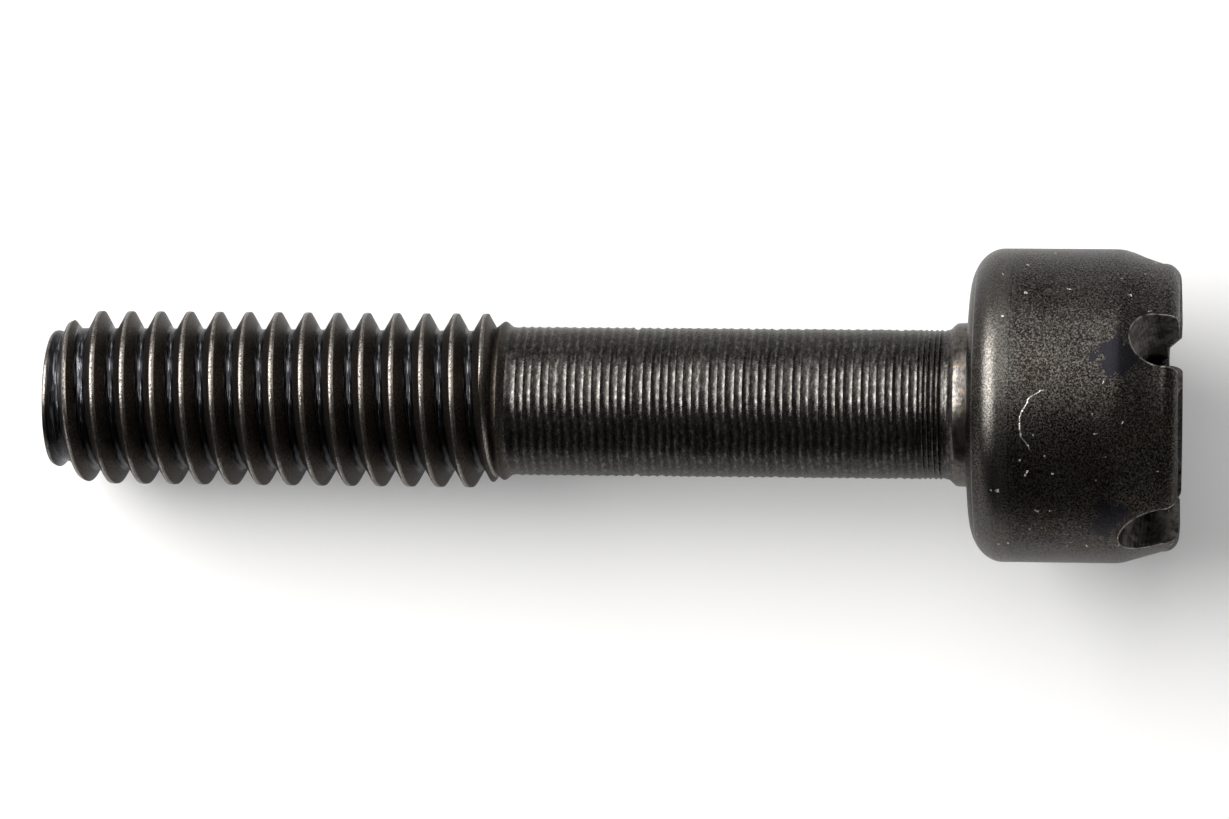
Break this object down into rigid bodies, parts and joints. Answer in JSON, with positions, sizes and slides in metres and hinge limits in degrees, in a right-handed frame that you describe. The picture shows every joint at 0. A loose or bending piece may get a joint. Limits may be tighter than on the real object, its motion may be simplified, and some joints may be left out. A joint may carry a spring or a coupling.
{
  "type": "machine screw",
  "caption": "One-piece machine screw: cylinder head with radial notches in its end, short collar, long plain shank and right-hand metric thread.",
  "frame": {"origin": "on the screw's axis, in the plane of the lug tops that it stands on", "axes": "+Z along the axis from the head to the thread's tip; -Y is the side that the picture shows, with +X up in it"},
  "size_m": [0.0104, 0.0104, 0.0377],
  "materials": {
    "blackened_steel": "worn oiled black oxide, satin"
  },
  "bodies": {
    "root": {"screw": "blackened_steel"}
  },
  "joints": []
}
